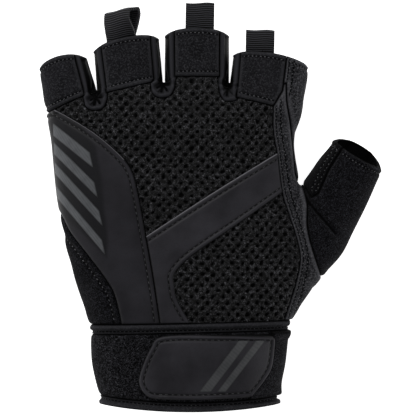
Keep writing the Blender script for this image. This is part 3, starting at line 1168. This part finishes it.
# Pull loops: grosgrain folded in two and sewn in under the hem, ribbed crosswise
print("pull loops")
loopLook = {"width": 12.7, "thick": 1.1, "grip": 6, "rib": 0.92, "ribRise": 0.2, "cells": 22,
            "step": 0.16,
            "profile": [(0, 0), (0.2, 0.25), (0.45, 0.75), (0.7, 1), (0.9, 0.8), (0.97, 0.45)],
            "loops": {  # length, height, turn, roll, shift, drift of the lower ply
                "ring": (14.2, 6.4, -3, 30, -0.15, 2.4), "middle": (13, 4.6, 1, 0, 0.085, 0),
                "index": (11.6, 4.6, 1, 0, -0.31, 0)}}


def makeLoop(name, finger):
    look = loopLook
    length, height, turn, roll, shift, drift = look["loops"][name]
    thick, turn = look["thick"], math.radians(turn)
    rise = height / 2 - thick
    lower = [(-look["grip"], -thick / 2)] + [(a * length, -spread * rise - thick / 2) for a, spread in look["profile"]]
    path = spline(lower + [(length - thick / 2, 0)] + [(a, -up) for a, up in reversed(lower)], 12)
    steps = np.linalg.norm(np.diff(path, axis=0), axis=1)
    along = np.concatenate([[0], np.cumsum(steps)])
    marks = np.arange(0, along[-1], look["step"])
    path = np.column_stack([np.interp(marks, along, path[:, k]) for k in range(2)])
    way = np.gradient(path, axis=0)
    way /= np.linalg.norm(way, axis=1)[:, None]
    out = np.column_stack([way[:, 1], -way[:, 0]])
    acrosses = (np.arange(look["cells"] + 1) / look["cells"] - 0.5) * look["width"]
    rib = 0.5 + 0.5 * np.cos(2 * np.pi * marks / look["rib"])
    rings, ribs = [], []
    for side in (1, -1):
        for across in acrosses[::side]:
            thin = 0.5 * thick * (1 - 0.35 * (abs(across) / (look["width"] / 2)) ** 12)
            selvedge = 0.12 * (abs(across) > 0.46 * look["width"])
            lift = side * (thin + look["ribRise"] * rib + selvedge)
            rings.append(np.column_stack([path + out * lift[:, None], np.full(len(path), across)]))
            ribs.append(rib)
    grid = np.stack(rings, axis=1)
    inner = finger["width"] / 2 - 1.5
    side = min(0.95, (abs(shift) * finger["width"] / 2 + look["width"] / 2) / inner)
    drop = (1 - (1 - side ** 2.5) ** 0.4) * 0.5 * finger["thickness"]
    level = 1.06 * finger["thickness"] - 1.5 - drop - thick - 0.6
    hem = fingerPoint(finger, shift, 0)
    flatPoints = grid.reshape(-1, 3)
    ahead, up, across = flatPoints.T
    bend = np.clip(ahead / (0.8 * length), 0, 1)
    turnUp = math.radians(roll) * bend * bend * (3 - 2 * bend)
    flat = across * np.cos(turnUp) - up * np.sin(turnUp)
    flat = flat + drift * np.clip(0.5 - 0.5 * up / rise, 0, 1) * bend
    reach = ahead + finger["skew"] * flat + 0.25 * np.sin(across / 2.2)
    points = np.column_stack([hem[0] + flat * math.cos(turn) + reach * math.sin(turn),
                              hem[1] - flat * math.sin(turn) + reach * math.cos(turn),
                              level + up * np.cos(turnUp) + across * np.sin(turnUp)])
    addPiece(f"pull_tab_{name}_webbing", points, gridFaces(*grid.shape[:2]), webbing, [f"pull_tab_{name}"],
             {"rib": np.stack(ribs, axis=1).ravel()}, sharp=60)


for name in loopLook["loops"]:
    makeLoop(name, fingers[name])

# Lining: the reverse of the panels, seen through the hems and in the seams
liningLook = {"short": 0.4, "keep": 0.18, "inside": 1.25}
liningPoints, liningFaces = clip(skinPoints, skinFaces, lambda points: hemField(points) - liningLook["short"])
liningPoints, liningFaces = modified(liningPoints, liningFaces, ("DECIMATE", {"ratio": liningLook["keep"]}))
liningPoints = liningPoints - liningLook["inside"] * normalsOf(liningPoints, liningFaces)
addPiece("tricot_lining", liningPoints, liningFaces[:, ::-1].copy(), tricot)

print("stitches")
for number, (owner, shade, rows, holes) in enumerate(threads):
    if rows:
        addPiece(f"stitches_{number + 1}_{owner}", *joined(rows), threadKinds[shade], sharp=80)
        addPiece(f"needle_holes_{number + 1}_{owner}", *joined(holes), tricot, sharp=80)

# Camera straight above the back of the hand, with a long lens as in the photograph
print("camera and light")
view = {"x": 12.5, "y": 12.0, "width": 185.1, "level": 16, "distance": 1250}
camera = bpy.data.cameras.new("camera")
camera.sensor_fit = "HORIZONTAL"
camera.lens_unit = "FOV"
camera.angle = 2 * math.atan(view["width"] / 2 / view["distance"])
camera.clip_end = 20
cameraObject = bpy.data.objects.new("camera", camera)
cameraObject.location = Vector((view["x"], view["y"], view["level"] + view["distance"])) / 1000
bpy.context.collection.objects.link(cameraObject)
bpy.context.scene.camera = cameraObject

studio = {
    "top": {"at": (-0.45, 1.0, 0.8), "size": 0.5, "power": 8.3},
    "left": {"at": (-1.1, -0.1, 0.5), "size": 0.5, "power": 2.0},
    "right": {"at": (1.1, -0.2, 0.5), "size": 0.5, "power": 2.9},
}
for name, lamp in studio.items():
    light = bpy.data.lights.new(name, "AREA")
    light.size = lamp["size"]
    light.energy = lamp["power"]
    lightObject = bpy.data.objects.new(name, light)
    lightObject.location = lamp["at"]
    lightObject.rotation_euler = (-Vector(lamp["at"])).to_track_quat("-Z", "Y").to_euler()
    bpy.context.collection.objects.link(lightObject)
world = bpy.data.worlds.new("studio")
world.use_nodes = True
world.node_tree.nodes["Background"].inputs[0].default_value = linear("#ffffff")
world.node_tree.nodes["Background"].inputs[1].default_value = 0.2
bpy.context.scene.world = world
bpy.context.scene.view_settings.view_transform = "Standard"

floorLook = {"colour": "#fbfbfb", "faint": "#f7f7f7", "size": 6.0, "level": -0.001,
             "finish": {"Roughness": 0.8, "Specular IOR Level": 0.2, "Emission Color": (1, 1, 1, 1),
                        "Emission Strength": 1.0}}
floorMaterial, tree, shader, mm = startMaterial("pale_floor", floorLook["finish"])
paper = addNode(tree, "TexNoise", {"Scale": 0.02, "Detail": 2}, {"Vector": mm})
tint = addNode(tree, "Mix", {6: floorLook["colour"], 7: floorLook["faint"]}, {0: paper})
tree.links.new(tint, shader.inputs["Base Color"])
half = floorLook["size"] / 2
floorMesh = newMesh("floor", np.array([(-half, -half, 0), (half, -half, 0), (half, half, 0), (-half, half, 0)], float),
                    np.array([[0, 1, 2, 3]]))
floorMesh.materials.append(floorMaterial)
floor = bpy.data.objects.new("floor", floorMesh)
floor.location.z = floorLook["level"]
bpy.context.collection.objects.link(floor)

total = sum(len(obj.data.polygons) for obj in pieces.values())
print("pieces:", len(pieces), "faces:", total)
